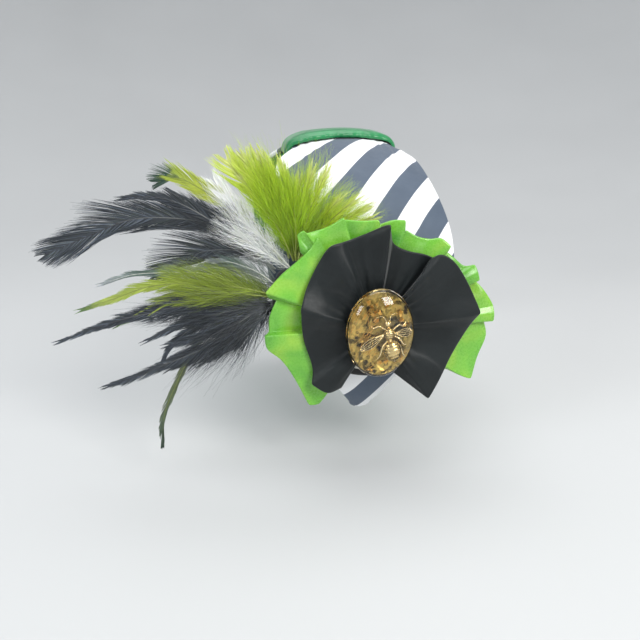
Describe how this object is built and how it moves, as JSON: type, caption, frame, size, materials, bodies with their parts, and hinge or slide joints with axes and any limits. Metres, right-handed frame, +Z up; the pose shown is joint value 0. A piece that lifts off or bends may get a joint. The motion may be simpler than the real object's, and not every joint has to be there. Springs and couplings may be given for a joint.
{
  "type": "fascinator headpiece",
  "caption": "Striped half hat for the crown of the head, with a satin band, two-layer satin rosette, bee cabochon, feather spray, side comb and spring clip.",
  "frame": {"origin": "top of the inside of the hat, where the lining rests on the crown of the head", "axes": "+Z up out of the crown; -Y towards the lobe that carries the rosette; the feathers sweep towards -X"},
  "size_m": [0.201, 0.1889, 0.1454],
  "materials": {
    "antique_brass": "antiqued cast brass with dark recesses",
    "black_satin": "black polyester satin, soft gloss",
    "dark_plate": "dark glossy back plate",
    "clip_steel": "nickel-plated pressed steel",
    "felt": "black craft felt",
    "spring_steel": "bright spring steel",
    "thread": "green sewing thread",
    "kelly_satin": "kelly green satin, low gloss",
    "lime_feather": "dyed hackle and goose feather, soft sheen, lime to olive",
    "olive_feather": "olive-grey fine feather",
    "pale_feather": "natural pale grey-white feather with green tint",
    "slate_feather": "dyed slate-black feather, soft sheen",
    "gold_leaf": "crumpled gilding leaf",
    "buckram": "stiffened woven buckram",
    "lime_satin": "lime green polyester satin, glossy folds",
    "amber_resin": "clear amber cast resin, polished",
    "millinery_wire": "thread-wrapped brim wire",
    "comb_steel": "nickel-plated wire",
    "striped_fabric": "white cotton sateen with broad slate-navy diagonal stripes"
  },
  "bodies": {
    "hat": {"bee_charm": "antique_brass", "black_ruffle": "black_satin", "cabochon_plate": "dark_plate", "clip_base": "clip_steel", "clip_pad": "felt", "clip_pin": "clip_steel", "clip_spring": "spring_steel", "comb_stitches": "thread", "crown_band": "kelly_satin", "feather_lime_blunt": "lime_feather", "feather_lime_dark_tipped": "lime_feather", "feather_lime_hackle_left": "lime_feather", "feather_lime_hackle_mid": "lime_feather", "feather_lime_hackle_right": "lime_feather", "feather_lime_hackle_upright": "lime_feather", "feather_lime_plume_lower": "lime_feather", "feather_olive_hanging": "olive_feather", "feather_patch": "felt", "feather_silver_green_left": "pale_feather", "feather_slate_fan_low": "slate_feather", "feather_slate_plume_long": "slate_feather", "feather_slate_plume_lower": "slate_feather", "feather_slate_plume_upper": "slate_feather", "feather_slate_short_low": "slate_feather", "feather_slate_spike_upper": "slate_feather", "feather_white_quill": "pale_feather", "foil_flakes": "gold_leaf", "foil_leaf": "gold_leaf", "foundation": "buckram", "lime_ruffle": "lime_satin", "resin_cabochon": "amber_resin", "rim_wire": "millinery_wire", "rosette_backing": "felt", "rosette_core": "buckram", "satin_lining": "kelly_satin", "side_comb": "comb_steel", "striped_cover": "striped_fabric"},
    "lever": {"clip_lever": "clip_steel"}
  },
  "joints": [
    {"name": "clip_hinge", "type": "hinge", "parent": "hat", "child": "lever", "pos_m": [0, 0.0105, -0.0084], "axis": [1, 0, 0], "range_deg": [0, 30], "stiffness_Nm_per_rad": 0.1, "deforming": ["clip_spring"]}
  ]
}
